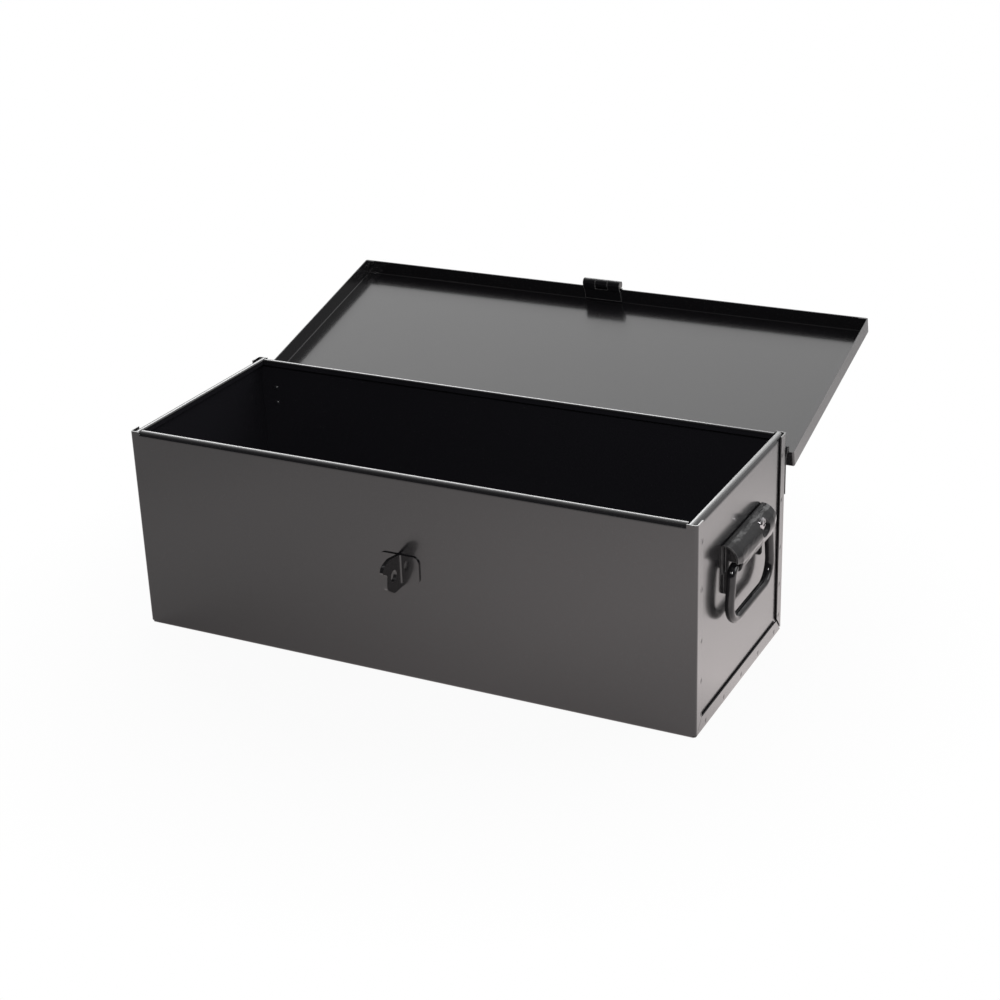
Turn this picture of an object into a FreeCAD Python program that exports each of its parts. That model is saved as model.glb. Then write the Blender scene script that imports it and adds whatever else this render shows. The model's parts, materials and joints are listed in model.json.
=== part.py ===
import FreeCAD, Part
import math
import os

# A portable sheet-steel tool box: a folded box body with welded end panels, a shallow lid on two
# hinges at the back, a slotted hasp over a padlock staple, and a bail handle on each end.
# Millimetres. X is the width, Y runs from front (minus) to back (plus), Z is up, and the origin
# is the middle of the underside. The lid stands open, as it does when the box is in use.

Vector = FreeCAD.Vector

# Body
body_width = 600.0            # over the end flanges
body_depth = 236.0
body_height = 212.6
body_sheet = 1.2
corner_radius = 3.0           # outside of the bends along the bottom and up the ends
end_flange_width = 14.0       # the wrap's upright flanges over the end panels
bottom_flange_height = 16.0
panel_recess = 2.0            # from the flanges' outer face in to the end panel
weld_gap = 0.35               # where one sheet stands inside another
front_mitre_gap = 0.6
rear_mitre_gap = 3.6

# Spot welds that hold the end panels, seen as dents in the flanges
weld_height_shares = (0.10, 0.26, 0.45, 0.69, 0.91)    # of the body's height
weld_place_shares = (-0.40, -0.20, 0.0, 0.20, 0.40)    # of its depth, along the bottom
weld_inset = 4.0              # of the upright rows, past the middle of their flange
weld_dent_radius = 3.0
weld_dent_depth = 0.5

# Folded rim round the mouth of the body
rim_width = 8.0
rim_radius = 5.0
rim_return = 4.0
rim_inner_radius = 1.8
rim_gap = 0.6                 # between the long rims and the end rims

# Lid
lid_overhang_end = 5.0
lid_overhang_front = 5.5
lid_skirt = 17.5
lid_sheet = 1.0
lid_edge_radius = 2.0
lid_rest_gap = 0.4            # between the closed lid and the rims
lid_open_angle = 165.4
lid_tab_length = 9.5          # corner weld tabs inside the front skirt

# Lid hinges, one at each end of the back
hinge_width = 38.0
hinge_sheet = 1.2
hinge_pin_radius = 1.75
hinge_pin_clearance = 0.05
hinge_pin_drop = 3.9          # pin axis below the skirt's free edge
hinge_leaf_height = 45.0
hinge_lid_leaf_height = 12.5
hinge_knuckle_gap = 0.3
hinge_joggle_angle = 45.0
hinge_joggle_radius = 1.6
hinge_curl = 300.0            # how far a knuckle wraps round its pin
hinge_rivet_radius = 2.0
hinge_rivet_clearance = 0.1
hinge_rivet_head_radius = 3.4
hinge_rivet_head_height = 1.3
hinge_rivet_crown = 0.6       # share of the head's radius under its crown
hinge_rivet_shoulder = 0.8    # and of its height there
hinge_rivet_spacing = 17.5
hinge_rivet_drop = 13.6       # upper rivet below the pin axis
hinge_lid_rivet_spacing = 22.0
stop_ear_height = 16.0
stop_ear_tip_radius = 2.0
stop_ear_lip = 1.0            # the ear reaches this far above the lid's edge
stop_clearance = 0.3

# Hasp
hasp_width = 44.0
hasp_sheet = 1.4
hasp_barrel_radius = 4.7
hasp_pin_clearance = 0.06
hasp_fixed_leaf_height = 15.0
hasp_leaf_length = 105.0
hasp_slot_side_gap = 1.2      # between the slot and the staple's plates
hasp_slot_room_above = 2.8
hasp_slot_room_below = 5.0
hasp_slot_corner = 2.9
hasp_end_radius = 8.0
hasp_knuckle_gap = 0.3
hasp_joggle_angle = 40.0
hasp_joggle_radius = 1.5
hasp_fixed_curl = 240.0
hasp_leaf_curl = 300.0
hasp_lean = 8.0               # past straight back, until the leaf leans on the lid's edge
hasp_staple_clearance = 0.5

# Padlock staple, two bent halves back to back
staple_sheet = 1.8
staple_width = 43.5
staple_drop = 59.8            # the flange's top below the hasp's pin
staple_height = 29.0
staple_corner_radius = 7.0
staple_bend_radius = 1.8
staple_outline = (            # of the standing plates: reach, height over the flange's foot, radius
    (0.0, 29.0, 0.0), (20.0, 32.2, 9.0), (31.5, 29.4, 4.0), (35.0, 23.0, 2.0),
    (26.6, 18.4, 2.5), (28.5, 4.0, 6.0), (14.6, -5.4, 8.0), (0.0, -5.0, 0.0),
)
staple_hole_radius = 5.5
staple_hole_reach = 14.6
staple_hole_rise = 13.0       # over the flange's foot

# Handles
bracket_length = 105.0
bracket_sheet = 1.6
bracket_top = 166.0
bracket_arch_radius = 15.8
bracket_back_drop = 29.0      # back leaf, down the end panel from the bracket's top
bracket_fold_radius = 2.1     # outside of the fold at the top
bracket_arch_turn = 108.0
bracket_lip_run = 5.0
bracket_lip_turn = 105.0
bracket_end_taper = 10.0      # length over which each end draws in
bracket_end_draw = 1.9
bracket_slant = 4.0           # of the lip's ends, inwards from top to bottom
cheek_clearance = 0.5         # from a cheek to the bail
cheek_inset = 6.4             # from the bracket's end to a cheek
cheek_drop = 51.5             # a cheek's foot, down from the bracket's top
cheek_corner_radius = 2.5
bail_radius = 4.5
bail_seat_clearance = 0.3
bail_inset = 2.5              # middle of a leg, inwards from the bracket's end
bail_flare = 8.0              # how far each leg leans out on its way down
bail_drop = 55.0              # from the pivot to the grip
bail_top_corner = 9.0
bail_grip_corner = 21.0
bail_lift_angle = 90.0
screw_offset = 20.0           # along the bracket from its middle
screw_drop = 7.0              # below the bracket's top
screw_radius = 3.0
screw_clearance = 0.2
screw_end = 1.0               # past the nut
screw_head_radius = 6.0
screw_head_height = 4.4
screw_head_crown = 0.45       # share of the head's radius that is flat on top
screw_head_side = 0.45        # share of the head's height that is upright
screw_seat = 11.2             # dish floor, out from the end panel
screw_recess_depth = 2.4
screw_recess_reach = 3.7
screw_recess_half_width = 0.8
dish_floor_radius = 7.2
dish_mouth_radius = 12.4
nut_width = 10.0
nut_height = 5.0
washer_radius = 6.4
washer_thickness = 1.2

# Places worked out from those sizes
panel_face = body_width / 2 - panel_recess
rim_end = panel_face - rim_width - rim_gap
back_face = body_depth / 2
lid_top = body_height + lid_rest_gap + lid_sheet
lid_skirt_edge = lid_top - lid_skirt
lid_half_width = body_width / 2 + lid_overhang_end
lid_half_depth = body_depth / 2 + lid_overhang_front
hinge_middle = body_width / 2 - hinge_width / 2
hinge_hole_radius = hinge_rivet_radius + hinge_rivet_clearance
knuckle_inner = hinge_pin_radius + hinge_pin_clearance
knuckle_middle = knuckle_inner + hinge_sheet / 2
knuckle_outer = knuckle_inner + hinge_sheet
hinge_pin_y = lid_half_depth - lid_sheet - hinge_sheet / 2 + knuckle_middle
hinge_pin_z = lid_skirt_edge - hinge_pin_drop
hasp_pin_y = -lid_half_depth
hasp_pin_z = lid_skirt_edge - hasp_barrel_radius
hasp_middle = hasp_barrel_radius - hasp_sheet / 2
staple_top = hasp_pin_z - staple_drop
staple_bottom = staple_top - staple_height
hasp_slot_start = staple_drop - hasp_slot_room_above
hasp_slot_end = staple_drop + staple_height - staple_outline[-1][1] + hasp_slot_room_below
hasp_slot_width = 2 * (staple_sheet + hasp_slot_side_gap)
bracket_arch_middle = bracket_arch_radius - bracket_sheet / 2
bracket_fold_middle = bracket_fold_radius - bracket_sheet / 2
bracket_arch_centre_z = bracket_top - bracket_arch_radius
lip_middle = bail_radius + bail_seat_clearance + bracket_sheet / 2
screw_height = bracket_top - screw_drop


def lay_yz(x):
    return lambda a, b: Vector(x, a, b)


def lay_xz(y):
    return lambda a, b: Vector(a, y, b)


def lay_xy(z):
    return lambda a, b: Vector(a, b, z)


def walk(start, heading, moves):
    """Where a middle line ends, and which way it then points, after its runs and bends."""
    a, b = start
    turn = math.radians(heading)
    for move in moves:
        if move[0] == "run":
            a += move[1] * math.cos(turn)
            b += move[1] * math.sin(turn)
        else:
            radius = math.copysign(move[1], move[2])
            centre = (a - radius * math.sin(turn), b + radius * math.cos(turn))
            turn += math.radians(move[2])
            a = centre[0] + radius * math.sin(turn)
            b = centre[1] - radius * math.cos(turn)
    return (a, b), math.degrees(turn)


def bent_sheet(lay, start, heading, moves, thickness):
    """A sheet seen edge-on. Its middle line starts at start and follows ("run", length) and
    ("bend", middle radius, degrees), where a positive bend turns left."""
    sides = {thickness / 2: [], -thickness / 2: []}
    point, angle = start, heading
    for move in moves:
        for side, edges in sides.items():
            marks = []
            for part in (0.0, 0.5, 1.0):
                step = (move[0], *move[1:-1], move[-1] * part)
                (a, b), here = walk(point, angle, [step])
                normal = math.radians(here + 90)
                marks.append(lay(a + side * math.cos(normal), b + side * math.sin(normal)))
            if move[0] == "run":
                edges.append(Part.makeLine(marks[0], marks[2]))
            else:
                edges.append(Part.Arc(*marks).toShape())
        point, angle = walk(point, angle, [move])
    left, right = sides.values()
    caps = [
        Part.makeLine(left[0].Vertexes[0].Point, right[0].Vertexes[0].Point),
        Part.makeLine(left[-1].Vertexes[-1].Point, right[-1].Vertexes[-1].Point),
    ]
    return Part.Face(Part.Wire(Part.__sortEdges__(left + right + caps)))


def rounded_outline(lay, corners):
    """A closed outline through (a, b, radius) corners, each rounded by its own radius."""
    points = [(Vector(a, b, 0), radius) for a, b, radius in corners]
    edges = []
    ends = []
    for index, (corner, radius) in enumerate(points):
        before = points[index - 1][0] - corner
        after = points[(index + 1) % len(points)][0] - corner
        before.normalize()
        after.normalize()
        if radius == 0:
            ends.append((corner, corner))
            continue
        half = before.getAngle(after) / 2
        reach = radius / math.tan(half)
        middle = before + after
        middle.normalize()
        nearest = corner + middle * (radius / math.sin(half) - radius)
        first, last = corner + before * reach, corner + after * reach
        ends.append((first, last))
        edges.append(Part.Arc(*[lay(p.x, p.y) for p in (first, nearest, last)]).toShape())
    for index, (first, last) in enumerate(ends):
        following = ends[(index + 1) % len(ends)][0]
        if last.distanceToPoint(following) > 1e-6:
            edges.append(Part.makeLine(lay(last.x, last.y), lay(following.x, following.y)))
    return Part.Wire(Part.__sortEdges__(edges))


def plate(lay, corners, direction):
    return Part.Face(rounded_outline(lay, corners)).extrude(direction)


def box(low, high):
    size = [top - bottom for bottom, top in zip(low, high)]
    return Part.makeBox(*size, Vector(*low))


def rod(start, end, radius):
    start, end = Vector(*start), Vector(*end)
    return Part.makeCylinder(radius, (end - start).Length, start, end - start)


def turned(profile, base, axis):
    """A turned piece: profile holds (radius, height) points along the axis from base."""
    points = [Vector(r, 0, h) for r, h in profile]
    face = Part.Face(Part.makePolygon(points + [points[0]]))
    piece = face.revolve(Vector(0, 0, 0), Vector(0, 0, 1), 360)
    piece.Placement = FreeCAD.Placement(Vector(*base), FreeCAD.Rotation(Vector(0, 0, 1), Vector(*axis)))
    return piece


def joined(shapes):
    whole = shapes[0].fuse(shapes[1:]) if len(shapes) > 1 else shapes[0]
    return whole.removeSplitter()


def mirrored(shape):
    return shape.mirror(Vector(0, 0, 0), Vector(1, 0, 0))


def half_turned(shape):
    """The same piece on the other end of the box."""
    copy = shape.copy()
    copy.rotate(Vector(0, 0, 0), Vector(0, 0, 1), 180)
    return copy


def opened(shape):
    """From its place on the closed lid to its place on the open lid."""
    copy = shape.copy()
    copy.rotate(Vector(0, hinge_pin_y, hinge_pin_z), Vector(1, 0, 0), -lid_open_angle)
    return copy


def hinge_rivet_heights():
    top = hinge_pin_z - hinge_rivet_drop
    return [top, top - hinge_rivet_spacing]


# Body wrap: front, bottom and back in one folded sheet


def rim_moves():
    flat = rim_width - rim_radius - rim_inner_radius
    return [
        ("run", rim_return),
        ("bend", rim_inner_radius - body_sheet / 2, 90),
        ("run", flat),
        ("bend", rim_radius - body_sheet / 2, 90),
    ]


def wall_and_floor_moves(wall):
    corner = ("bend", corner_radius - body_sheet / 2, 90)
    return [("run", wall), corner, ("run", body_depth - 2 * corner_radius), corner, ("run", wall)]


def mitre_cutters(side, lower_gap, flange_gap):
    """Prisms that trim the upright and the bottom flange along one bottom corner's mitre."""
    slope = bottom_flange_height / end_flange_width
    reach = end_flange_width + corner_radius
    front = side * body_depth / 2
    near = body_width / 2 - corner_radius - body_sheet
    depth = Vector(2 * (corner_radius + body_sheet), 0, 0)
    lay = lay_yz(near)
    under = [
        (front + side, -1.0 + flange_gap, 0),
        (front - side * reach, reach * slope + flange_gap, 0),
        (front - side * reach, -1.0, 0),
    ]
    above = [
        (front + side, -1.0 - lower_gap, 0),
        (front - side * reach, reach * slope - lower_gap, 0),
        (front - side * reach, 2 * reach * slope, 0),
        (front + side, 2 * reach * slope, 0),
    ]
    return plate(lay, under, depth), plate(lay, above, depth)


def end_flanges():
    """The wrap's flanges round the right-hand end panel."""
    inset = body_width / 2 - corner_radius
    bend = ("bend", corner_radius - body_sheet / 2, 90)
    flanges = []
    rise = Vector(0, 0, body_height - corner_radius)
    start = (inset, -body_depth / 2 + body_sheet / 2)
    moves = [bend, ("run", end_flange_width - corner_radius)]
    upright = bent_sheet(lay_xy(corner_radius), start, 0, moves, body_sheet).extrude(rise)
    across = Vector(0, body_depth - 2 * corner_radius, 0)
    moves = [bend, ("run", bottom_flange_height - corner_radius)]
    lay = lay_xz(-body_depth / 2 + corner_radius)
    lower = bent_sheet(lay, (inset, body_sheet / 2), 0, moves, body_sheet).extrude(across)
    for side, gap in ((-1, front_mitre_gap), (1, rear_mitre_gap)):
        under, above = mitre_cutters(side, gap / 2, gap / 2)
        post = upright if side < 0 else upright.mirror(Vector(0, 0, 0), Vector(0, 1, 0))
        flanges.append(post.cut(under))
        lower = lower.cut(above)
    return flanges + [lower]


def weld_dents():
    """Shallow dents that the welding tips leave in the right-hand flanges."""
    depth, radius = weld_dent_depth, weld_dent_radius
    ball = (radius * radius + depth * depth) / (2 * depth)
    row = body_depth / 2 - end_flange_width / 2 - weld_inset
    heights = [share * body_height for share in weld_height_shares]
    places = [(side * row, height) for side in (-1, 1) for height in heights]
    places += [(share * body_depth, bottom_flange_height / 2) for share in weld_place_shares]
    return [Part.makeSphere(ball, Vector(body_width / 2 + ball - depth, y, z)) for y, z in places]


def body_wrap():
    wall = body_height - corner_radius
    start = (-body_depth / 2 + rim_width - body_sheet / 2, body_height - rim_inner_radius - rim_return)
    rimmed_wall = wall - rim_radius
    moves = rim_moves() + wall_and_floor_moves(rimmed_wall)
    moves += [
        ("bend", rim_radius - body_sheet / 2, 90),
        ("run", rim_width - rim_radius - rim_inner_radius),
        ("bend", rim_inner_radius - body_sheet / 2, 90),
        ("run", rim_return),
    ]
    section = bent_sheet(lay_yz(-rim_end), start, 90, moves, body_sheet)
    middle = section.extrude(Vector(2 * rim_end, 0, 0))
    start = (-body_depth / 2 + body_sheet / 2, body_height)
    section = bent_sheet(lay_yz(rim_end), start, 270, wall_and_floor_moves(wall), body_sheet)
    plain = section.extrude(Vector(body_width / 2 - corner_radius - rim_end, 0, 0))
    right_end = [joined([plain] + end_flanges()).cut(weld_dents())]
    wrap = joined([middle] + right_end + [mirrored(piece) for piece in right_end])
    for side in (-1, 1):
        for height in hinge_rivet_heights():
            start = (side * hinge_middle, back_face - 2 * body_sheet, height)
            end = (side * hinge_middle, back_face + body_sheet, height)
            wrap = wrap.cut(rod(start, end, hinge_hole_radius))
    return wrap


def end_panel():
    """The right-hand end panel, held inside the wrap and welded behind its flanges."""
    half_depth = body_depth / 2 - body_sheet - weld_gap
    floor = body_sheet + weld_gap
    start = (panel_face - rim_width + body_sheet / 2, body_height - rim_inner_radius - rim_return)
    moves = [
        ("run", rim_return),
        ("bend", rim_inner_radius - body_sheet / 2, -90),
        ("run", rim_width - rim_radius - rim_inner_radius),
        ("bend", rim_radius - body_sheet / 2, -90),
        ("run", body_height - rim_radius - floor),
    ]
    section = bent_sheet(lay_xz(-half_depth), start, 90, moves, body_sheet)
    panel = section.extrude(Vector(0, 2 * half_depth, 0))
    low_corners = [
        edge for edge in panel.Edges
        if abs(edge.BoundBox.YLength) < 1e-6 and edge.BoundBox.ZMax < floor + 1e-6
    ]
    panel = panel.makeFillet(corner_radius, low_corners)
    hole = rod((panel_face - 2 * body_sheet, screw_offset, screw_height),
               (panel_face + body_sheet, screw_offset, screw_height), screw_radius + screw_clearance)
    return panel.cut(hole)


# Lid: a shallow welded pan, built closed and then swung open


def lid_panel():
    outer = box((-lid_half_width, -lid_half_depth, lid_skirt_edge - lid_edge_radius),
                (lid_half_width, lid_half_depth, lid_top))
    outer = outer.makeFillet(lid_edge_radius, outer.Edges)
    inner_width = lid_half_width - lid_sheet
    inner_depth = lid_half_depth - lid_sheet
    inner = box((-inner_width, -inner_depth, lid_skirt_edge - lid_edge_radius - lid_sheet),
                (inner_width, inner_depth, lid_top - lid_sheet))
    inner = inner.makeFillet(lid_edge_radius - lid_sheet, inner.Edges)
    below = box((-body_width, -body_depth, 0), (body_width, body_depth, lid_skirt_edge))
    pan = outer.cut(inner).cut(below)
    tabs = []
    for end in (-1, 1):
        corners = [
            (end * inner_width, lid_skirt_edge, 0),
            (end * (inner_width - lid_tab_length), lid_skirt_edge, 0),
            (end * inner_width, lid_top - lid_sheet, 0),
        ]
        tabs.append(plate(lay_xz(-inner_depth), corners, Vector(0, lid_sheet, 0)))
    pan = joined([pan] + tabs)
    for point in hinge_lid_rivet_points():
        pan = pan.cut(rod((point[0], lid_half_depth - 2 * lid_sheet, point[2]),
                          (point[0], lid_half_depth + lid_sheet, point[2]), hinge_hole_radius))
    return opened(pan)


# Lid hinges, right-hand one


def hinge_lid_rivet_points():
    height = lid_skirt_edge + hinge_lid_leaf_height / 2
    return [
        (end * hinge_middle + side * hinge_lid_rivet_spacing / 2, lid_half_depth, height)
        for end in (-1, 1) for side in (-1, 1)
    ]


def joggle(offset, radius, angle):
    """Two equal bends that shift a sheet sideways, and the height that they take up."""
    turn = math.radians(abs(angle))
    slope = (offset - 2 * radius * (1 - math.cos(turn))) / math.sin(turn)
    height = 2 * radius * math.sin(turn) + slope * math.cos(turn)
    return [("bend", radius, angle), ("run", slope), ("bend", radius, -angle)], height


def knuckle_slots(outside, width, radius, gap, pin):
    """What is cut from a leaf round the barrel: the middle third, or the two outer thirds."""
    pin_y, pin_z = pin
    middle = width / 6
    reach = radius + gap
    low, high = pin_y - 3 * radius, pin_y + 3 * radius
    if outside:
        spans = [(-width, -middle + gap / 2), (middle - gap / 2, width)]
    else:
        spans = [(-middle - gap / 2, middle + gap / 2)]
    return [box((a, low, pin_z - reach), (b, high, pin_z + reach)) for a, b in spans]


def hinge_body_leaf():
    bottom = hinge_pin_z - hinge_leaf_height
    start = (back_face + hinge_sheet / 2, bottom)
    shift = hinge_pin_y - knuckle_middle - start[0]
    moves, height = joggle(shift, hinge_joggle_radius, -hinge_joggle_angle)
    moves = [("run", hinge_leaf_height - knuckle_outer - height)] + moves + [("run", knuckle_outer)]
    moves += [("bend", knuckle_middle, -hinge_curl)]
    section = bent_sheet(lay_yz(-hinge_width / 2), start, 90, moves, hinge_sheet)
    leaf = section.extrude(Vector(hinge_width, 0, 0))
    pin = (hinge_pin_y, hinge_pin_z)
    for cutter in knuckle_slots(False, hinge_width, knuckle_outer, hinge_knuckle_gap, pin):
        leaf = leaf.cut(cutter)
    leaf = joined([leaf, stop_ear()])
    for height in hinge_rivet_heights():
        start = (0, back_face - body_sheet, height)
        leaf = leaf.cut(rod(start, (0, back_face + 2 * hinge_sheet, height), hinge_hole_radius))
    leaf.translate(Vector(hinge_middle, 0, 0))
    return leaf


def stop_ear():
    """An ear turned out from the leaf's inner edge, on which the open lid's back edge rests."""
    turn = math.radians(-lid_open_angle)
    y, z = lid_half_depth - lid_edge_radius - hinge_pin_y, lid_top - lid_edge_radius - hinge_pin_z
    edge_y = hinge_pin_y + y * math.cos(turn) - z * math.sin(turn)
    edge_z = hinge_pin_z + y * math.sin(turn) + z * math.cos(turn)
    tip = edge_y - lid_edge_radius - stop_clearance
    corners = [
        (back_face, edge_z - stop_ear_height / 2, 0),
        (tip, edge_z - stop_ear_height / 4, stop_ear_tip_radius),
        (tip, edge_z + stop_ear_lip, stop_ear_lip / 2),
        (back_face, edge_z + stop_ear_height / 2, 0),
    ]
    return plate(lay_yz(-hinge_width / 2), corners, Vector(hinge_sheet, 0, 0))


def hinge_lid_leaf():
    top = lid_skirt_edge + hinge_lid_leaf_height
    start = (hinge_pin_y - knuckle_middle, top)
    moves = [("run", top - hinge_pin_z), ("bend", knuckle_middle, hinge_curl)]
    section = bent_sheet(lay_yz(-hinge_width / 2), start, 270, moves, hinge_sheet)
    leaf = section.extrude(Vector(hinge_width, 0, 0))
    pin = (hinge_pin_y, hinge_pin_z)
    for cutter in knuckle_slots(True, hinge_width, knuckle_outer, hinge_knuckle_gap, pin):
        leaf = leaf.cut(cutter)
    leaf.translate(Vector(hinge_middle, 0, 0))
    for x, y, z in hinge_lid_rivet_points():
        if x > 0:
            leaf = leaf.cut(rod((x, y - 4 * hinge_sheet, z), (x, y, z), hinge_hole_radius))
    return opened(leaf)


def hinge_pin():
    half = hinge_width / 2
    return rod((hinge_middle - half, hinge_pin_y, hinge_pin_z),
               (hinge_middle + half, hinge_pin_y, hinge_pin_z), hinge_pin_radius)


def rivet(x, near, far, z):
    """A rivet along Y whose domed heads clamp the sheets between near and far."""
    radius, head = hinge_rivet_radius, hinge_rivet_head_radius
    rise = hinge_rivet_head_height
    crown, shoulder = head * hinge_rivet_crown, rise * hinge_rivet_shoulder
    grip = far - near
    profile = [
        (0, -rise), (crown, -shoulder), (head, 0), (radius, 0),
        (radius, grip), (head, grip), (crown, grip + shoulder), (0, grip + rise),
    ]
    return turned(profile, (x, near, z), (0, 1, 0))


def hinge_body_rivets():
    near, far = back_face - body_sheet, back_face + hinge_sheet
    return Part.makeCompound([rivet(hinge_middle, near, far, z) for z in hinge_rivet_heights()])


def hinge_lid_rivets():
    near, far = lid_half_depth - lid_sheet - hinge_sheet, lid_half_depth
    return opened(Part.makeCompound([
        rivet(x, near, far, z) for x, y, z in hinge_lid_rivet_points() if x > 0
    ]))


# Hasp, built on the closed lid


def hasp_fixed_leaf():
    top = lid_skirt_edge + hasp_fixed_leaf_height
    start = (-lid_half_depth + lid_sheet + hasp_sheet / 2, top)
    shift = hasp_pin_y + hasp_middle - start[0]
    moves, height = joggle(shift, hasp_joggle_radius, hasp_joggle_angle)
    moves = [("run", top - hasp_pin_z - height - hasp_barrel_radius)] + moves
    moves += [("run", hasp_barrel_radius), ("bend", hasp_middle, -hasp_fixed_curl)]
    section = bent_sheet(lay_yz(-hasp_width / 2), start, 270, moves, hasp_sheet)
    leaf = section.extrude(Vector(hasp_width, 0, 0))
    pin = (hasp_pin_y, hasp_pin_z)
    for cutter in knuckle_slots(False, hasp_width, hasp_barrel_radius, hasp_knuckle_gap, pin):
        leaf = leaf.cut(cutter)
    return opened(leaf)


def hasp_slotted_leaf():
    """Built hanging over the staple, then folded back outside the lid and swung open with it."""
    staple_face = -back_face - staple_sheet
    start = (staple_face - hasp_staple_clearance - hasp_sheet / 2, hasp_pin_z - hasp_leaf_length)
    shift = hasp_pin_y + hasp_middle - start[0]
    moves, height = joggle(shift, hasp_joggle_radius, -hasp_joggle_angle / 2)
    straight = hasp_slot_start / 2
    moves = [("run", hasp_leaf_length - straight - height)] + moves
    moves += [("run", straight), ("bend", hasp_middle, hasp_leaf_curl)]
    section = bent_sheet(lay_yz(-hasp_width / 2), start, 90, moves, hasp_sheet)
    leaf = section.extrude(Vector(hasp_width, 0, 0))
    pin = (hasp_pin_y, hasp_pin_z)
    for cutter in knuckle_slots(True, hasp_width, hasp_barrel_radius, hasp_knuckle_gap, pin):
        leaf = leaf.cut(cutter)
    depth = Vector(0, 8 * hasp_barrel_radius, 0)
    lay = lay_xz(hasp_pin_y - 4 * hasp_barrel_radius)
    half_slot = hasp_slot_width / 2
    slot_top, slot_bottom = hasp_pin_z - hasp_slot_start, hasp_pin_z - hasp_slot_end
    slot = [
        (-half_slot, slot_bottom, hasp_slot_corner), (half_slot, slot_bottom, hasp_slot_corner),
        (half_slot, slot_top, hasp_slot_corner), (-half_slot, slot_top, hasp_slot_corner),
    ]
    bottom = hasp_pin_z - hasp_leaf_length
    top = hasp_pin_z + 2 * hasp_barrel_radius
    half = hasp_width / 2
    outline = [
        (-half, bottom, hasp_end_radius), (half, bottom, hasp_end_radius),
        (half, top, 0), (-half, top, 0),
    ]
    leaf = leaf.common(plate(lay, outline, depth)).cut(plate(lay, slot, depth))
    leaf.rotate(Vector(0, hasp_pin_y, hasp_pin_z), Vector(1, 0, 0), -180 - hasp_lean)
    return opened(leaf)


def hasp_pin():
    radius = hasp_barrel_radius - hasp_sheet - hasp_pin_clearance
    half = hasp_width / 2
    return opened(rod((-half, hasp_pin_y, hasp_pin_z), (half, hasp_pin_y, hasp_pin_z), radius))


# Padlock staple on the front


def staple_half():
    """The right-hand half: a plate that stands out of the front and a flange welded to it."""
    front = -body_depth / 2
    half = staple_width / 2
    base = [
        (0, staple_bottom, 0), (half, staple_bottom, staple_corner_radius),
        (half, staple_top, staple_corner_radius), (0, staple_top, 0),
    ]
    flange = plate(lay_xz(front), base, Vector(0, -staple_sheet, 0))
    outline = [(front - reach, staple_bottom + rise, radius) for reach, rise, radius in staple_outline]
    standing = plate(lay_yz(0), outline, Vector(staple_sheet, 0, 0))
    hole_y = front - staple_hole_reach
    hole_z = staple_bottom + staple_hole_rise
    standing = standing.cut(rod((-1, hole_y, hole_z),
                                (2 * staple_sheet, hole_y, hole_z), staple_hole_radius))
    root = front - staple_sheet
    radius = staple_bend_radius
    edge = staple_sheet + radius
    fillet = box((staple_sheet, root - radius, staple_bottom), (edge, root, staple_top))
    hollow = rod((edge, root - radius, staple_bottom), (edge, root - radius, staple_top), radius)
    return joined([flange, standing, fillet.cut(hollow)])


# Handles, right-hand one


def bracket_moves(draw, arch_turn):
    """The bracket's section: up the end panel, over at the top and round the bail."""
    return [
        ("run", bracket_back_drop - bracket_fold_radius),
        ("bend", bracket_fold_middle, -90),
        ("bend", bracket_arch_middle - draw, -arch_turn),
    ]


def bracket_start():
    return (panel_face + bracket_sheet / 2, bracket_top - bracket_back_drop)


def bail_axis():
    moves = bracket_moves(0, bracket_arch_turn) + [("run", bracket_lip_run)]
    (x, z), heading = walk(bracket_start(), 90, moves)
    inward = math.radians(heading - 90)
    return x + lip_middle * math.cos(inward), z + lip_middle * math.sin(inward)


def handle_bracket():
    half = bracket_length / 2
    body = half - bracket_end_taper
    moves = bracket_moves(0, bracket_arch_turn)
    moves += [("run", bracket_lip_run), ("bend", lip_middle, -bracket_lip_turn)]
    section = bent_sheet(lay_xz(-body), bracket_start(), 90, moves, bracket_sheet)
    hood = section.extrude(Vector(0, 2 * body, 0))
    # The ends draw in and stop short of the lip, so that the bail's legs can lift to the stop
    axis_x, axis_z = bail_axis()
    mouth = axis_z + bail_radius + bail_seat_clearance
    drop = math.asin((bracket_arch_centre_z - mouth) / bracket_arch_middle)
    turn = 90 + math.degrees(drop)
    lowest = axis_z - bracket_arch_radius
    ends = []
    for side in (-1, 1):
        faces = [
            bent_sheet(lay_xz(side * y), bracket_start(), 90, bracket_moves(draw, turn), bracket_sheet)
            for y, draw in ((body, 0), (half, bracket_end_draw))
        ]
        ends.append(Part.makeLoft([face.OuterWire for face in faces], True, True))
        slant = [
            (side * body, mouth, 0), (side * (body - bracket_slant), lowest, 0),
            (side * half, lowest, 0), (side * half, mouth, 0),
        ]
        start = panel_face + 2 * bracket_sheet
        hood = hood.cut(plate(lay_yz(start), slant, Vector(2 * bracket_arch_radius, 0, 0)))
    for y in (cheek_inset - half, half - cheek_inset - bracket_sheet):
        ends.append(bracket_cheek(y, mouth))
    hood = joined([hood] + ends)
    return sunk_screw_seat(hood, body)


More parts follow.
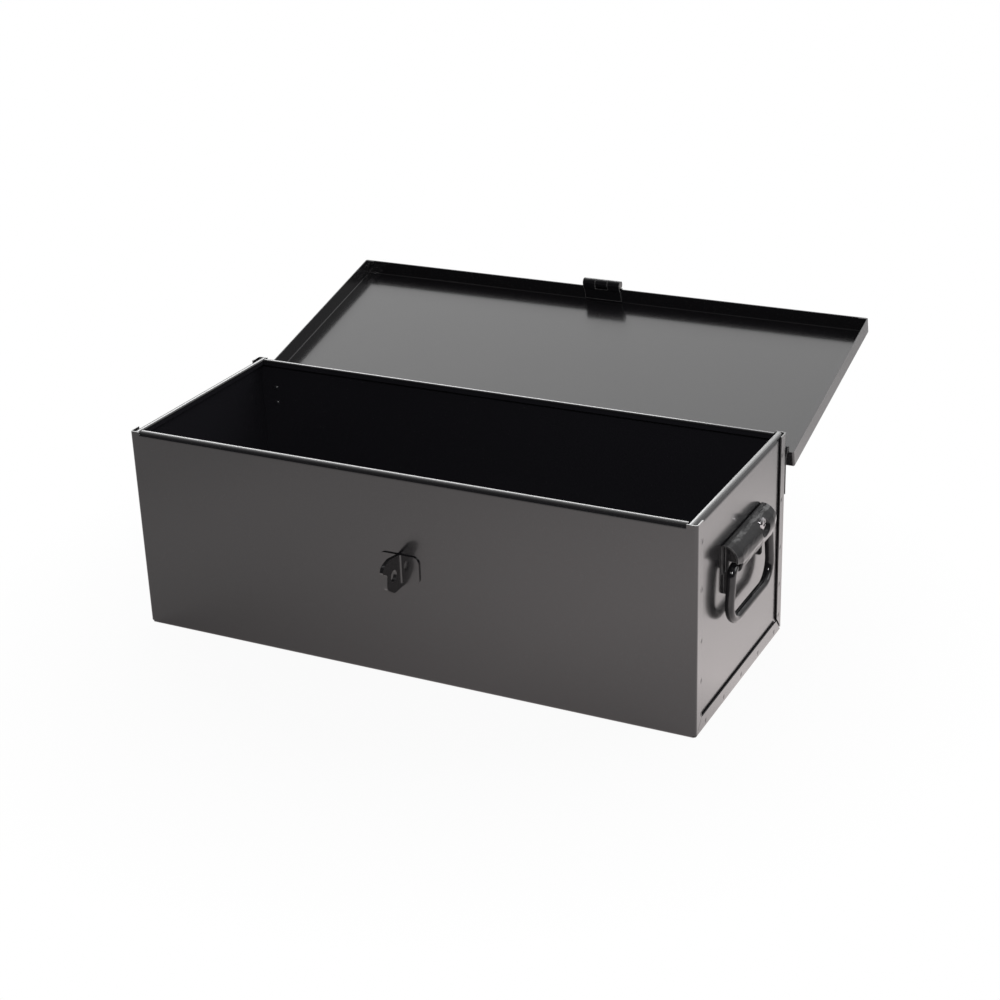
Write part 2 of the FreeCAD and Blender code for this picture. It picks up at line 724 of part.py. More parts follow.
def bracket_cheek(y, mouth):
    """A wall across the arch, over the bail, whose foot keeps the bail off the end panel."""
    edge = bail_axis()[0] - bail_radius - cheek_clearance
    foot = bracket_top - cheek_drop
    corners = [
        (panel_face, foot, 0), (edge, foot, cheek_corner_radius),
        (edge, bracket_arch_centre_z, 0), (panel_face, bracket_arch_centre_z, 0),
    ]
    tab = plate(lay_xz(y), corners, Vector(0, bracket_sheet, 0))
    middle = panel_face + bracket_fold_radius
    wall = rod((middle, y, bracket_arch_centre_z), (middle, y + bracket_sheet, bracket_arch_centre_z),
               bracket_arch_middle)
    over_bail = box((panel_face + bracket_sheet / 2, y, mouth + cheek_clearance),
                    (panel_face + 2 * bracket_arch_radius, y + bracket_sheet, bracket_top))
    return joined([tab, wall.common(over_bail)])


def sunk_screw_seat(hood, body):
    """A dish drawn into the arch, with the screw's hole through its floor and the back leaf."""
    mouth = panel_face + bracket_fold_radius + bracket_arch_radius
    seat = panel_face + screw_seat
    centre = (seat, screw_offset, screw_height)
    depth = mouth - seat
    sheet = bracket_sheet
    cone = [(0, 0), (dish_floor_radius, 0), (dish_mouth_radius, depth), (0, depth)]
    inner = turned(cone, centre, (1, 0, 0))
    cone = [
        (0, -sheet), (dish_floor_radius + sheet, -sheet),
        (dish_mouth_radius + sheet, depth), (0, depth),
    ]
    outer = turned(cone, centre, (1, 0, 0))
    middle = panel_face + bracket_fold_radius
    solid_arch = rod((middle, -body, bracket_arch_centre_z), (middle, body, bracket_arch_centre_z),
                     bracket_arch_radius)
    hood = joined([hood.cut(inner), outer.cut(inner).common(solid_arch)])
    return hood.cut(rod((panel_face - 1, screw_offset, screw_height),
                        (mouth, screw_offset, screw_height), screw_radius + screw_clearance))


def bent_rod(x, corners, radius):
    """A closed loop of round bar in a plane of constant X, with (y, z, bend radius) corners."""
    outline = rounded_outline(lay_yz(x), corners)
    pieces = []
    for edge in outline.Edges:
        start = edge.firstVertex(True).Point
        direction = edge.tangentAt(edge.FirstParameter)
        if edge.firstVertex(True).Point.distanceToPoint(edge.valueAt(edge.FirstParameter)) > 1e-6:
            direction = edge.tangentAt(edge.LastParameter)
        ring = Part.Face(Part.Wire(Part.makeCircle(radius, start, direction)))
        if isinstance(edge.Curve, Part.Circle):
            sweep = math.degrees(edge.LastParameter - edge.FirstParameter)
            centre, axis = edge.Curve.Center, edge.Curve.Axis
            if start.distanceToPoint(edge.valueAt(edge.FirstParameter)) > 1e-6:
                axis = axis * -1
            pieces.append(ring.revolve(centre, axis, sweep))
        else:
            end = edge.lastVertex(True).Point
            pieces.append(ring.extrude(end - start))
    return joined(pieces)


def handle_bail():
    axis_x, axis_z = bail_axis()
    top = bracket_length / 2 - bail_inset
    grip = top + bail_flare
    grip_z = axis_z - bail_drop
    corners = [
        (-top, axis_z, bail_top_corner), (-grip, grip_z, bail_grip_corner),
        (grip, grip_z, bail_grip_corner), (top, axis_z, bail_top_corner),
    ]
    return bent_rod(axis_x, corners, bail_radius)


def handle_screw():
    """A pan-head screw with a cross recess, through the dish, the end panel, washer and nut."""
    seat = panel_face + screw_seat
    inside = panel_face - body_sheet - washer_thickness - nut_height - screw_end
    head = screw_head_radius
    rise = screw_head_height
    length = seat - inside
    side = rise * screw_head_side
    crown = head * screw_head_crown
    profile = [
        (0, 0), (screw_radius, 0), (screw_radius, length), (head, length), (head, length + side),
        ((head + crown) / 2 + (rise - side) / 4, length + (3 * rise + side) / 4),
        (crown, length + rise), (0, length + rise),
    ]
    screw = turned(profile, (inside, screw_offset, screw_height), (1, 0, 0))
    top = seat + rise
    arm, width = screw_recess_reach, screw_recess_half_width
    for wide, tall in ((arm, width), (width, arm)):
        screw = screw.cut(box((top - screw_recess_depth, screw_offset - wide, screw_height - tall),
                              (top + 1, screw_offset + wide, screw_height + tall)))
    return screw


def handle_washer():
    inside = panel_face - body_sheet
    disc = rod((inside - washer_thickness, screw_offset, screw_height),
               (inside, screw_offset, screw_height), washer_radius)
    return disc.cut(rod((inside - 2 * washer_thickness, screw_offset, screw_height),
                        (inside + 1, screw_offset, screw_height), screw_radius + screw_clearance))


def handle_nut():
    face = panel_face - body_sheet - washer_thickness
    radius = nut_width / math.sqrt(3)
    corners = [
        (screw_offset + radius * math.cos(math.radians(60 * step)),
         screw_height + radius * math.sin(math.radians(60 * step)), 0)
        for step in range(6)
    ]
    nut = plate(lay_yz(face - nut_height), corners, Vector(nut_height, 0, 0))
    return nut.cut(rod((face - 2 * nut_height, screw_offset, screw_height),
                       (face + 1, screw_offset, screw_height), screw_radius))


os.makedirs("parts", exist_ok=True)

# Pieces that the box has once
for name, make in {
    "body_wrap": body_wrap,
    "lid_panel": lid_panel,
    "hasp_fixed_leaf": hasp_fixed_leaf,
    "hasp_slotted_leaf": hasp_slotted_leaf,
    "hasp_pin": hasp_pin,
}.items():
    make().exportStep(f"parts/{name}.step")

# Pieces whose left one is the right one's mirror image
for name, make in {
    "hinge_body_leaf": hinge_body_leaf,
    "hinge_lid_leaf": hinge_lid_leaf,
    "hinge_pin": hinge_pin,
    "hinge_body_rivets": hinge_body_rivets,
    "hinge_lid_rivets": hinge_lid_rivets,
    "staple": staple_half,
}.items():
    piece = make()
    piece.exportStep(f"parts/{name}_right.step")
    mirrored(piece).exportStep(f"parts/{name}_left.step")

# The same piece on both ends, turned half round
for name, make in {
    "end_panel": end_panel,
    "handle_bracket": handle_bracket,
    "handle_bail": handle_bail,
    "handle_screw": handle_screw,
    "handle_washer": handle_washer,
    "handle_nut": handle_nut,
}.items():
    piece = make()
    piece.exportStep(f"parts/{name}_right.step")
    half_turned(piece).exportStep(f"parts/{name}_left.step")

print("lid hinge axis", 0.0, round(hinge_pin_y, 3), round(hinge_pin_z, 3))
print("bail axis", [round(value, 3) for value in bail_axis()])
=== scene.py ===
# %% [markdown]
# # A black sheet-steel tool box
#
# The shape of this tool box is already made, in a model whose every bend and rivet is a solid. What
# is missing is its look: semi-gloss black paint on folded steel, rubbed thin along its edges, and
# the plain light that it was photographed in. Black paint has almost no colour of its own. What the
# eye sees on it is the room in its gloss, so this lesson is mostly about reflections.

# %% Load the model
import json
import math

import bmesh
import bpy
from mathutils import Matrix, Vector


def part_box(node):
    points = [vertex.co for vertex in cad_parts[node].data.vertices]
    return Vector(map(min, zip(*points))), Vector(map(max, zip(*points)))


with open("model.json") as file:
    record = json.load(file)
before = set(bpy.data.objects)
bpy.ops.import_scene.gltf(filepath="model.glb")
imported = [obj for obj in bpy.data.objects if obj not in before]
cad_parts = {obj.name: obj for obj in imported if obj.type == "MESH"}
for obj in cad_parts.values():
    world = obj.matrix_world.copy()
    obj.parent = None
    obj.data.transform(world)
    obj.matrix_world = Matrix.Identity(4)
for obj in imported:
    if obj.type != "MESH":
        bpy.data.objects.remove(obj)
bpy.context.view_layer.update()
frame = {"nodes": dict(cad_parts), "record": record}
nodes = frame["nodes"]

# %% [markdown]
# ## The body's size
#
# The inside of the body gets a lighter colour of its own, a painted fill light, so a later cell has
# to know where the inside is.
# The width, depth and height are read from the wrapped sheet in the model, so that they follow if
# the model changes. The sheet's thickness and the step from the end flanges in to the end panels
# can't be read from a box, so they are written down here, in metres as everything below.

# %% Measure the body
wrap_low, wrap_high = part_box("body_wrap")
body_width = wrap_high.x - wrap_low.x
body_depth = wrap_high.y - wrap_low.y
body_height = wrap_high.z
SHEET = 0.0012
PANEL_RECESS = 0.002
print("body", round(body_width, 4), round(body_depth, 4), round(body_height, 4))

# %% [markdown]
# ## Shader maths as plain expressions
#
# A material is a graph of nodes, and a sum in it takes a node for each plus sign. Wrapping a socket
# in a small class lets Python write the sum and add the nodes. The forms with an r, such as
# `__rsub__`, make `1 - mask` work as well as `mask - 1`. Every other kind of node comes from one
# method, `node`, which takes its type, its settings and the values or links of its inputs.


# %% A value in a material
class Value:
    """A number that a material works out at each point of the surface."""

    def __init__(self, paint, socket):
        self.paint = paint
        self.socket = socket

    def maths(self, operation, first, second):
        return self.paint.node("ShaderNodeMath", {"operation": operation}, {0: first, 1: second})

    def __add__(self, other):
        return self.maths("ADD", self, other)

    def __radd__(self, other):
        return self.maths("ADD", other, self)

    def __sub__(self, other):
        return self.maths("SUBTRACT", self, other)

    def __rsub__(self, other):
        return self.maths("SUBTRACT", other, self)

    def __mul__(self, other):
        return self.maths("MULTIPLY", self, other)

    def __rmul__(self, other):
        return self.maths("MULTIPLY", other, self)


print("a value adds, subtracts and multiplies")


# %% A material and its nodes
class Paint:
    """A material and the nodes that are added to it."""

    def __init__(self, name):
        self.material = bpy.data.materials.new(name)
        self.material.use_nodes = True
        self.tree = self.material.node_tree
        self.shader = self.tree.nodes["Principled BSDF"]

    def connect(self, socket, value):
        if isinstance(value, Value):
            self.tree.links.new(value.socket, socket)
        else:
            socket.default_value = value

    def node(self, kind, settings=None, inputs=None, output=0):
        made = self.tree.nodes.new(kind)
        for setting, value in (settings or {}).items():
            if setting == "stops":
                self.stops(made.color_ramp, value)
            else:
                setattr(made, setting, value)
        for socket, value in (inputs or {}).items():
            self.connect(made.inputs[socket], value)
        return Value(self, made.outputs[output])

    def stops(self, ramp, stops):
        while len(ramp.elements) < len(stops):
            ramp.elements.new(1.0)
        for element, (place, shade) in zip(ramp.elements, stops):
            element.position = place
            element.color = (shade, shade, shade, 1.0)

    def place(self):
        return self.node("ShaderNodeTexCoord", {}, {}, "Object")

    def along(self, axis, where):
        return self.node("ShaderNodeSeparateXYZ", {}, {0: where}, axis)

    def noise(self, scale, detail=3.0, roughness=0.5, where=None):
        where = self.place() if where is None else where
        inputs = {"Vector": where, "Scale": scale, "Detail": detail, "Roughness": roughness}
        return self.node("ShaderNodeTexNoise", {}, inputs)

    def ramp(self, value, stops):
        return self.node("ShaderNodeValToRGB", {"stops": stops}, {0: value})

    def mix(self, amount, first, second):
        inputs = {"Factor": amount, 6: first, 7: second}
        return self.node("ShaderNodeMix", {"data_type": "RGBA"}, inputs, 2)

    def blend(self, amount, first, second):
        return self.node("ShaderNodeMixShader", {}, {0: amount, 1: first, 2: second})

    def bump(self, height, distance, strength=1.0, under=None):
        inputs = {"Height": height, "Distance": distance, "Strength": strength}
        if under is not None:
            inputs["Normal"] = under
        return self.node("ShaderNodeBump", {}, inputs)

    def set(self, **inputs):
        for name, value in inputs.items():
            self.connect(self.shader.inputs[name.replace("_", " ")], value)
        return self.material


def ramp_range(value):
    """A value from -1 to 1 as one from 0 to 1, which is what a ramp reads."""
    return 0.5 + 0.5 * value


print("a paint makes", [name for name in vars(Paint) if not name.startswith("_")])

# %% [markdown]
# ## Where the paint is thin, and the painted highlight on the edges
#
# Paint pulls back from a sharp edge while it is wet, and the edge is what gets rubbed later. The
# lighter colour given to the edges is that wear, and also a painted highlight for the light that
# rounded edges catch. The Bevel node gives the direction that the surface would face if its edges
# were rounded. Where that differs from the true direction there is an edge, so one minus their dot
# product is a mask of the edges. It needs no painting by hand, and it follows every fold of the
# model.
#
# The mask and all the textures are measured from the object's own origin, so they keep their place
# on the lid, the hasp and the handles when these move.


# %% The edge mask
BEVEL_SAMPLES = 6
EDGE_STARTS = 0.02
EDGE_FULL = 0.30


def edges(paint, radius):
    """1 along edges that stand out or fold in within this radius, 0 on open faces."""
    rounded = paint.node("ShaderNodeBevel", {"samples": BEVEL_SAMPLES}, {"Radius": radius})
    true_normal = paint.node("ShaderNodeNewGeometry", {}, {}, "Normal")
    inputs = {0: rounded, 1: true_normal}
    alike = paint.node("ShaderNodeVectorMath", {"operation": "DOT_PRODUCT"}, inputs, "Value")
    return paint.ramp(1.0 - alike, [(EDGE_STARTS, 0.0), (EDGE_FULL, 1.0)])


print("edge mask runs from", EDGE_STARTS, "to", EDGE_FULL)

# %% [markdown]
# ## The inside of the body
#
# In the open box light has to bounce between black walls, and the walls and the bottom end up
# nearly black, but not quite. A slightly lighter colour there is a painted fill light, which stands
# in for that bounced light and keeps them from going out altogether. The wrapped sheet is one piece
# inside and outside, so the painted fill has to find the inside by its place: from the middle of one
# wall's sheet to the middle of the other's, and below the rim.


# %% The inside mask
def inside_body(paint):
    """1 on the faces that look into the open body, 0 outside it."""
    place = paint.place()
    reach_across = body_width / 2 - PANEL_RECESS - SHEET / 2
    reach_deep = body_depth / 2 - SHEET / 2
    inside = 1.0
    for axis, reach in (("X", reach_across), ("Y", reach_deep)):
        off_centre = paint.along(axis, place)
        off_centre = off_centre.maths("ABSOLUTE", off_centre, 0.0)
        inside = inside * off_centre.maths("LESS_THAN", off_centre, reach)
    up = paint.along("Z", place)
    inside = inside * up.maths("LESS_THAN", up, body_height - 2 * SHEET)
    return inside * up.maths("GREATER_THAN", up, SHEET / 2)


print("inside starts", round(SHEET / 2, 4), "m up and ends", round(body_height - 2 * SHEET, 4))

# %% [markdown]
# ## Black enamel on folded sheet
#
# The box is sprayed after it is folded and spot-welded. The film is black, glossy enough to mirror
# the room softly, and it dries with a fine orange-peel skin. Along the folds it pulls thin and gets
# rubbed, so they read a shade lighter and duller, and the lighter shade also paints in the highlight
# that the folds catch. Here and there a speck of dust dries into it.
# A clear coat over the colour gives the second, sharper reflection that such paint has at a low
# angle. The gloss wanders a little over the sheet, because an even gloss looks like plastic.
#
# The pressed fittings are dipped in a thinner paint that has no coat over it. The press leaves
# shallow waves in them, which a second bump gives, drawn out along the depth of the box. Their
# edges are thinly covered and painted as thin pale lines, which is also a painted highlight for the
# light that they catch.

# %% Colours of the enamel
PAINT_BLACK = (0.0100, 0.0095, 0.0110, 1.0)
# A lighter black inside the body: a painted fill light for the light bounced between the walls.
PAINTED_FILL_INSIDE = (0.016, 0.0155, 0.019, 1.0)
# Edge colours: rubbed or thin paint, and a painted highlight along the edges, in one.
PAINT_RUBBED_AND_HIGHLIT = (0.05, 0.047, 0.045, 1.0)
PAINT_THIN_AND_HIGHLIT = (0.34, 0.33, 0.33, 1.0)
DUST = (0.16, 0.155, 0.15, 1.0)
# The second colour printed is the fittings' edge colour: thin paint and a painted highlight.
print("black enamel is", PAINT_BLACK[:3], "and", PAINT_THIN_AND_HIGHLIT[:3], "where it is thin")

# %% Its gloss, its skin and its wear
PATCHES_START = 0.38
PATCHES_FULL = 0.62
SPECK_STOPS = [(0.70, 0.0), (0.76, 1.0)]
CLOUDS_DULL = 0.06
RUBBING_DULLS = 0.12
GRAIN_DULLS = 0.03
COAT_ROUGHNESS = 0.13
PEEL_DEPTH = 0.00006
PRESS_WAVES = (110.0, 35.0, 110.0)


def enamel(name, gloss, peel, wear_and_highlight, dust=0.0, coat=0.8, shine=0.5, edge=PAINT_RUBBED_AND_HIGHLIT, body=False,
           waves=0.0, edge_reach=0.0012, least_wear_and_highlight=0.0):
    """Black enamel; `gloss` is its roughness. Its edges take the `edge` colour, wear and a painted
    highlight in one, by the given amount.
    """
    paint = Paint(name)
    clouds = paint.noise(scale=9.0, detail=4.0, roughness=0.55)
    grain = paint.noise(scale=420.0, detail=2.0, roughness=0.4)
    patch_stops = [(PATCHES_START, least_wear_and_highlight), (PATCHES_FULL, 1.0)]
    patches = paint.ramp(paint.noise(scale=60.0), patch_stops)
    # The edge mask: wear and a painted highlight along the edges, in patches.
    rubbed_and_highlit = edges(paint, edge_reach) * patches
    specks = paint.ramp(paint.noise(scale=900.0, detail=1.0, roughness=0.3), SPECK_STOPS)
    colour = paint.mix(wear_and_highlight * rubbed_and_highlit, PAINT_BLACK, edge)
    colour = paint.mix(dust * specks, colour, DUST)
    # On the body the inside takes the lighter colour, a painted fill light.
    if body:
        colour = paint.mix(inside_body(paint), colour, PAINTED_FILL_INSIDE)
    rough = gloss + CLOUDS_DULL * clouds + RUBBING_DULLS * rubbed_and_highlit + GRAIN_DULLS * grain
    skin = paint.bump(paint.noise(scale=260.0), PEEL_DEPTH, peel)
    if waves:
        inputs = {0: paint.place(), 1: PRESS_WAVES}
        stretched = paint.node("ShaderNodeVectorMath", {"operation": "MULTIPLY"}, inputs)
        pressed = paint.noise(scale=1.0, detail=2.0, where=stretched)
        skin = paint.bump(pressed, waves, under=skin)
    return paint.set(Base_Color=colour, Roughness=rough, Normal=skin, Coat_Weight=coat,
                     Coat_Roughness=COAT_ROUGHNESS, Specular_IOR_Level=shine)


print("enamel's clear coat has a roughness of", COAT_ROUGHNESS)

# %% The four enamels
# The edge amounts below set how far the edges take their colour, wear and a painted highlight in
# one.
sheet_enamel = enamel("sheet enamel", gloss=0.20, peel=0.5, wear_and_highlight=0.6, dust=0.25)
# This enamel adds the painted fill light inside the body.
body_enamel = enamel("body enamel", gloss=0.20, peel=0.5, wear_and_highlight=0.6, dust=0.25, body=True)
# The fittings' pale edges are thin paint and a painted highlight.
fitting_enamel = enamel("fitting enamel", gloss=0.10, peel=0.8, wear_and_highlight=0.9, coat=0.0, shine=0.38,
                        edge=PAINT_THIN_AND_HIGHLIT, waves=0.0012, edge_reach=0.0016, least_wear_and_highlight=0.5)
bail_enamel = enamel("bail enamel", gloss=0.05, peel=0.5, wear_and_highlight=0.9, coat=0.0, shine=0.5,
                     edge=PAINT_THIN_AND_HIGHLIT, waves=0.0005, edge_reach=0.0016, least_wear_and_highlight=0.5)
for finish in (sheet_enamel, body_enamel, fitting_enamel, bail_enamel):
    print(finish.name, "has", len(finish.node_tree.nodes), "nodes")

# %% [markdown]
# ## Bare metal
#
# Only small things are unpainted: the hinge and hasp pins, which go in after the paint, and the
# zinc-plated screws, washers and nuts. Bare steel is darker and duller than zinc, and both carry the
# turned or rolled marks of how they were made.


# %% Steel and zinc
STREAK_DEPTH = 0.00002
STREAK_STRENGTH = 0.4
SMEARS_DULL = 0.18


def bare_metal(name, light, dark, gloss):
    """Metal that is streaked between two colours; `gloss` is its roughness where it is cleanest."""
    paint = Paint(name)
    streaks = paint.noise(scale=700.0, detail=4.0, roughness=0.7)
    colour = paint.mix(streaks, light, dark)
    rough = gloss + SMEARS_DULL * paint.noise(scale=150.0, roughness=0.6)
    skin = paint.bump(streaks, STREAK_DEPTH, STREAK_STRENGTH)
    return paint.set(Base_Color=colour, Roughness=rough, Metallic=1.0, Normal=skin)


STEEL_LIGHT = (0.30, 0.29, 0.28, 1.0)
STEEL_DARK = (0.17, 0.165, 0.16, 1.0)
ZINC_LIGHT = (0.58, 0.56, 0.57, 1.0)
ZINC_DARK = (0.33, 0.32, 0.34, 1.0)
pin_steel = bare_metal("pin steel", STEEL_LIGHT, STEEL_DARK, gloss=0.28)
zinc = bare_metal("zinc plate", ZINC_LIGHT, ZINC_DARK, gloss=0.13)
print("metals", pin_steel.name, zinc.name)

# %% [markdown]
# ## Dressing the model
#
# Each piece of the model takes the finish of its material slot in the record. There are two
# exceptions. The sheets that close the body, and the rivets whose heads show in it, need the enamel
# with the painted fill light on the inside. The staple is a fitting by its slot, but its flanges are
# welded flat to the front and sprayed with it, so it takes the sheet's enamel.

# %% Give every piece its finish
FINISHES = {
    "sheet_enamel": sheet_enamel,
    "fitting_enamel": fitting_enamel,
    "bail_enamel": bail_enamel,
    "pin_steel": pin_steel,
    "zinc_hardware": zinc,
}
BODY_PIECES = ("body_wrap", "end_panel_left", "end_panel_right",
               "hinge_body_rivets_left", "hinge_body_rivets_right")
STAPLE_PIECES = ("staple_left", "staple_right")

slots = {part["node"]: part["material_slot"] for part in frame["record"]["subparts"]}
finishes = {name: FINISHES[slots[name]] for name in nodes}
finishes.update({name: body_enamel for name in BODY_PIECES})
finishes.update({name: sheet_enamel for name in STAPLE_PIECES})
for name, piece in nodes.items():
    piece.data.materials.clear()
    piece.data.materials.append(finishes[name])
print("dressed", len(finishes), "pieces")

# %% [markdown]
# ## What the camera sees, and what the paint mirrors
#
# The picture needs a plain white background, but a black box in an all-white room would be grey
# from end to end. So the floor and the room answer two questions in two ways. To a ray from the
# camera, also one through glass, they are plain white at a strength of 1. To every other ray they
# are what the box's light and its gloss need. The Light Path node tells the rays apart.


# %% Tell the rays apart
def seen_directly(paint):
    """1 for what the camera sees, also through glass, and 0 for reflections and for the light."""
    camera_ray = paint.node("ShaderNodeLightPath", {}, {}, "Is Camera Ray")
    through_glass = paint.node("ShaderNodeLightPath", {}, {}, "Is Transmission Ray")
    return camera_ray.maths("MAXIMUM", camera_ray, through_glass)


WHITE = (1.0, 1.0, 1.0, 1.0)
DARK = (0.0, 0.0, 0.0, 1.0)
print("the background is", WHITE[:3])

# %% [markdown]
# ## The floor
#
# One square of floor, far wider than the view, carries the box.

# %% Lay the floor
FLOOR_HALF = 6.0
floor_mesh = bpy.data.meshes.new("floor")
shape = bmesh.new()
bmesh.ops.create_grid(shape, x_segments=1, y_segments=1, size=FLOOR_HALF)
shape.to_mesh(floor_mesh)
shape.free()
floor = bpy.data.objects.new("floor", floor_mesh)
bpy.context.scene.collection.objects.link(floor)
print("floor", 2 * FLOOR_HALF, "m wide")

# %% [markdown]
# ## The floor in the gloss
#
# Most of what the front and the end mirror is the floor close by. In the photograph the end is much
# lighter than the front, and each fades over its face, so the mirrored floor is brightest to the
# right of the box and has softer and stronger bands towards the front. This glow is added for glossy
# rays only. The floor's own grey is what lights the box from below.

# %% Paint what the gloss mirrors
FLOOR_GREY = (0.50, 0.50, 0.50, 1.0)
FLOOR_ROUGHNESS = 0.9
GLOW_COLOUR = (1.0, 0.91, 0.90, 1.0)
GLOW_STRENGTH = 1.27
GLOW_CENTRE = (0.45, -0.10, 0.0)
GLOW_REACH = 1.5
GLOW_SHADES = [(0.0, 0.95), (0.25, 0.90), (0.50, 0.50), (0.60, 0.44), (0.70, 0.31), (1.0, 0.26)]
FRONT_SHADES = [(0.25, 0.94), (0.44, 0.56), (0.50, 0.93), (0.58, 0.72), (0.70, 0.70), (0.82, 0.45)]

floor_paint = Paint("white floor")
floor_paint.set(Base_Color=FLOOR_GREY, Roughness=FLOOR_ROUGHNESS)
lit = Value(floor_paint, floor_paint.shader.outputs[0])
where = floor_paint.place()
inputs = {0: where, 1: GLOW_CENTRE}
off_centre = floor_paint.node("ShaderNodeVectorMath", {"operation": "DISTANCE"}, inputs, "Value")
share = floor_paint.ramp(off_centre * (1.0 / GLOW_REACH), GLOW_SHADES)
share = share * floor_paint.ramp(ramp_range(floor_paint.along("Y", where)), FRONT_SHADES)
inputs = {"Color": floor_paint.mix(share, DARK, GLOW_COLOUR), "Strength": GLOW_STRENGTH}
glow = floor_paint.node("ShaderNodeEmission", {}, inputs)
glowing = floor_paint.node("ShaderNodeAddShader", {}, {0: lit, 1: glow})
glossy_ray = floor_paint.node("ShaderNodeLightPath", {}, {}, "Is Glossy Ray")
mirrored = floor_paint.blend(glossy_ray, lit, glowing)
print("the glow is strongest at", GLOW_CENTRE[:2], "and even past", GLOW_REACH, "m from there")

# %% [markdown]
# ## The floor before the camera
#
# The camera sees white, with a trace of the lit floor mixed in around the box. The trace carries the
# box's shadow, which tells the eye that the box stands on something, and it fades to plain white
# before the edge of the picture.

# %% Keep a faint shadow on the white
SHADOW_SHARE = 0.05
SHADOW_REACH = 0.55
SHADOW_FADES_FROM = 0.45
white = floor_paint.node("ShaderNodeEmission", {}, {"Color": WHITE, "Strength": 1.0})
from_box = floor_paint.node("ShaderNodeVectorMath", {"operation": "LENGTH"}, {0: where}, "Value")
shadow_stops = [(SHADOW_FADES_FROM, SHADOW_SHARE), (1.0, 0.0)]
shadow = floor_paint.ramp(from_box * (1.0 / SHADOW_REACH), shadow_stops)
floor_look = floor_paint.blend(seen_directly(floor_paint) * (1.0 - shadow), mirrored, white)
floor_out = floor_paint.tree.nodes["Material Output"]
floor_paint.connect(floor_out.inputs["Surface"], floor_look)
floor_mesh.materials.append(floor_paint.material)
print("the shadow shows at", SHADOW_SHARE, "and is gone", SHADOW_REACH, "m from the middle")

# %% [markdown]
# ## The room
#
# The world stands in for the room. It is lighter overhead than at the floor, and dim on the side of
# the camera, so the lid, which faces up and forward, mirrors light, while the bends under the rims,
# which face the camera, stay dark. The world has nodes like a material's, and a small class lets it
# use the same way of writing.


# %% Shade the room
class Room(Paint):
    """The world's nodes, written in the same way as a material's."""

    def __init__(self, world):
        self.tree = world.node_tree


HEIGHT_SHADES = [(0.0, 0.40), (0.5, 0.40), (0.62, 0.65), (1.0, 0.75)]
DEPTH_SHADES = [(0.20, 0.08), (0.45, 0.45), (0.80, 1.0)]
world = bpy.data.worlds.new("room")
bpy.context.scene.world = world
world.use_nodes = True
room = Room(world)
towards = room.node("ShaderNodeTexCoord", {}, {}, "Generated")
height_shade = room.ramp(ramp_range(room.along("Z", towards)), HEIGHT_SHADES)
depth_shade = room.ramp(ramp_range(room.along("Y", towards)), DEPTH_SHADES)
inputs = {"Color": height_shade * depth_shade, "Strength": 1.0}
room_light = room.node("ShaderNodeBackground", {}, inputs)
plain_white = room.node("ShaderNodeBackground", {}, {"Color": WHITE, "Strength": 1.0})
room_look = room.blend(seen_directly(room), room_light, plain_white)
room.connect(world.node_tree.nodes["World Output"].inputs["Surface"], room_look)
print("room is", HEIGHT_SHADES[0][1], "at the floor and", HEIGHT_SHADES[-1][1], "overhead")

# %% [markdown]
# ## The lamps
#
# A lamp does two jobs on gloss: it lights, and it shows as a shape in the reflections. A large soft
# light, above and behind the box, lights all of it. Two low windows far behind are there for the
# rims, whose rounded tops mirror them as long white lines. The flash near the camera puts the small
# bright points on the bail and the screw, and the light from the right lifts the handle.
#
# A flat panel can mirror a whole window as a white sheet, and the closed lid would. A photographer
# holds a black card between the two. Light linking is that card: the windows' light leaves out the
# lid and reaches all the rest.


# %% Lamps and cards
def soft_light(name, place, aim, width, height, power):
    """A rectangular soft box at `place`, turned to face `aim`, that reflections show."""
    lamp = bpy.data.lights.new(name, "AREA")
    lamp.shape = "RECTANGLE"
    lamp.size = width
    lamp.size_y = height
    lamp.energy = power
    holder = bpy.data.objects.new(name, lamp)
    holder.location = place
    holder.rotation_mode = "QUATERNION"
    holder.rotation_quaternion = (Vector(aim) - Vector(place)).to_track_quat("-Z", "Y")
    holder.visible_camera = False
    bpy.context.scene.collection.objects.link(holder)
    return holder


def keep_off(lamp, piece):
    """Leave this lamp's light off one piece, as a photographer's black card does."""
    card = bpy.data.collections.new("card of " + lamp.name)
    card.objects.link(piece)
    card.collection_objects[0].light_linking.link_state = "EXCLUDE"
    lamp.light_linking.receiver_collection = card


print("lamps can be placed and screened off")

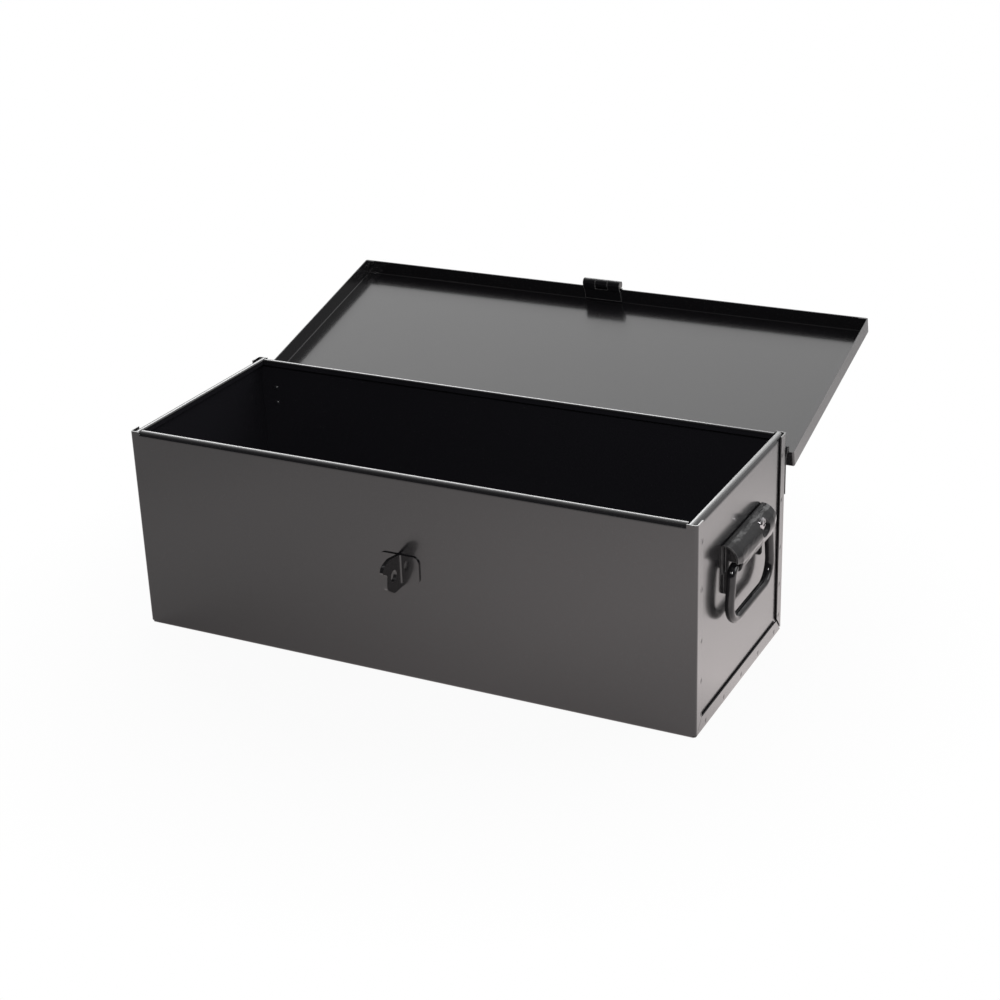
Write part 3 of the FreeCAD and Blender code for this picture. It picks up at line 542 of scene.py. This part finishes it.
# %% Set up the lamps
LID_AIM = (0.0, 0.15, 0.15)
RIM_AIM = (0.0, 0.0, 0.2)
HANDLE_AIM = (0.2, 0.0, 0.1)
soft_light("sky light", place=(-0.9, 1.6, 1.9), aim=LID_AIM, width=2.6, height=1.6, power=10.0)
window = soft_light("low window", place=(-2.06, 3.43, 1.95), aim=RIM_AIM, width=2.0, height=1.0,
                    power=23.0)
wall = soft_light("low wall", place=(-0.07, 4.0, 1.95), aim=RIM_AIM, width=2.3, height=1.0,
                  power=9.0)
for lamp in (window, wall):
    keep_off(lamp, nodes["lid_panel"])
soft_light("flash", place=(1.0, -1.7, 1.4), aim=HANDLE_AIM, width=0.34, height=0.34, power=16.0)
soft_light("right light", place=(2.2, 0.6, 1.2), aim=HANDLE_AIM, width=1.2, height=1.2, power=10.0)
print("lights", [lamp.name for lamp in bpy.data.lights])

# %% [markdown]
# ## The camera
#
# Its place was worked out from the corners of the box in the photograph: 27 degrees round to the
# right, 24 degrees up, with the slight tilt of a camera held by hand.

# %% Place the camera
CAMERA_PLACE = Vector((0.8545, -1.5721, 0.9210))
CAMERA_ROUND = math.radians(27.14)
CAMERA_ABOVE = math.radians(23.64)
CAMERA_TILT = math.radians(-1.97)
CAMERA_LENS = 70.94
SENSOR_WIDTH = 36.0

turned = Matrix.Rotation(CAMERA_ROUND, 3, "Z") @ Matrix.Rotation(math.pi / 2 - CAMERA_ABOVE, 3, "X")
turned = turned @ Matrix.Rotation(CAMERA_TILT, 3, "Z")
camera_data = bpy.data.cameras.new("camera")
camera_data.lens = CAMERA_LENS
camera_data.sensor_width = SENSOR_WIDTH
camera = bpy.data.objects.new("camera", camera_data)
camera.matrix_world = Matrix.Translation(CAMERA_PLACE) @ turned.to_4x4()
bpy.context.scene.collection.objects.link(camera)
bpy.context.scene.camera = camera
bpy.context.scene.view_settings.view_transform = "Standard"
print("camera at", [round(v, 3) for v in CAMERA_PLACE])

# %% [markdown]
# ## The object's size
#
# The looks must not change the object's size: the materials, floor, room, lamps and camera leave
# the meshes as they are.
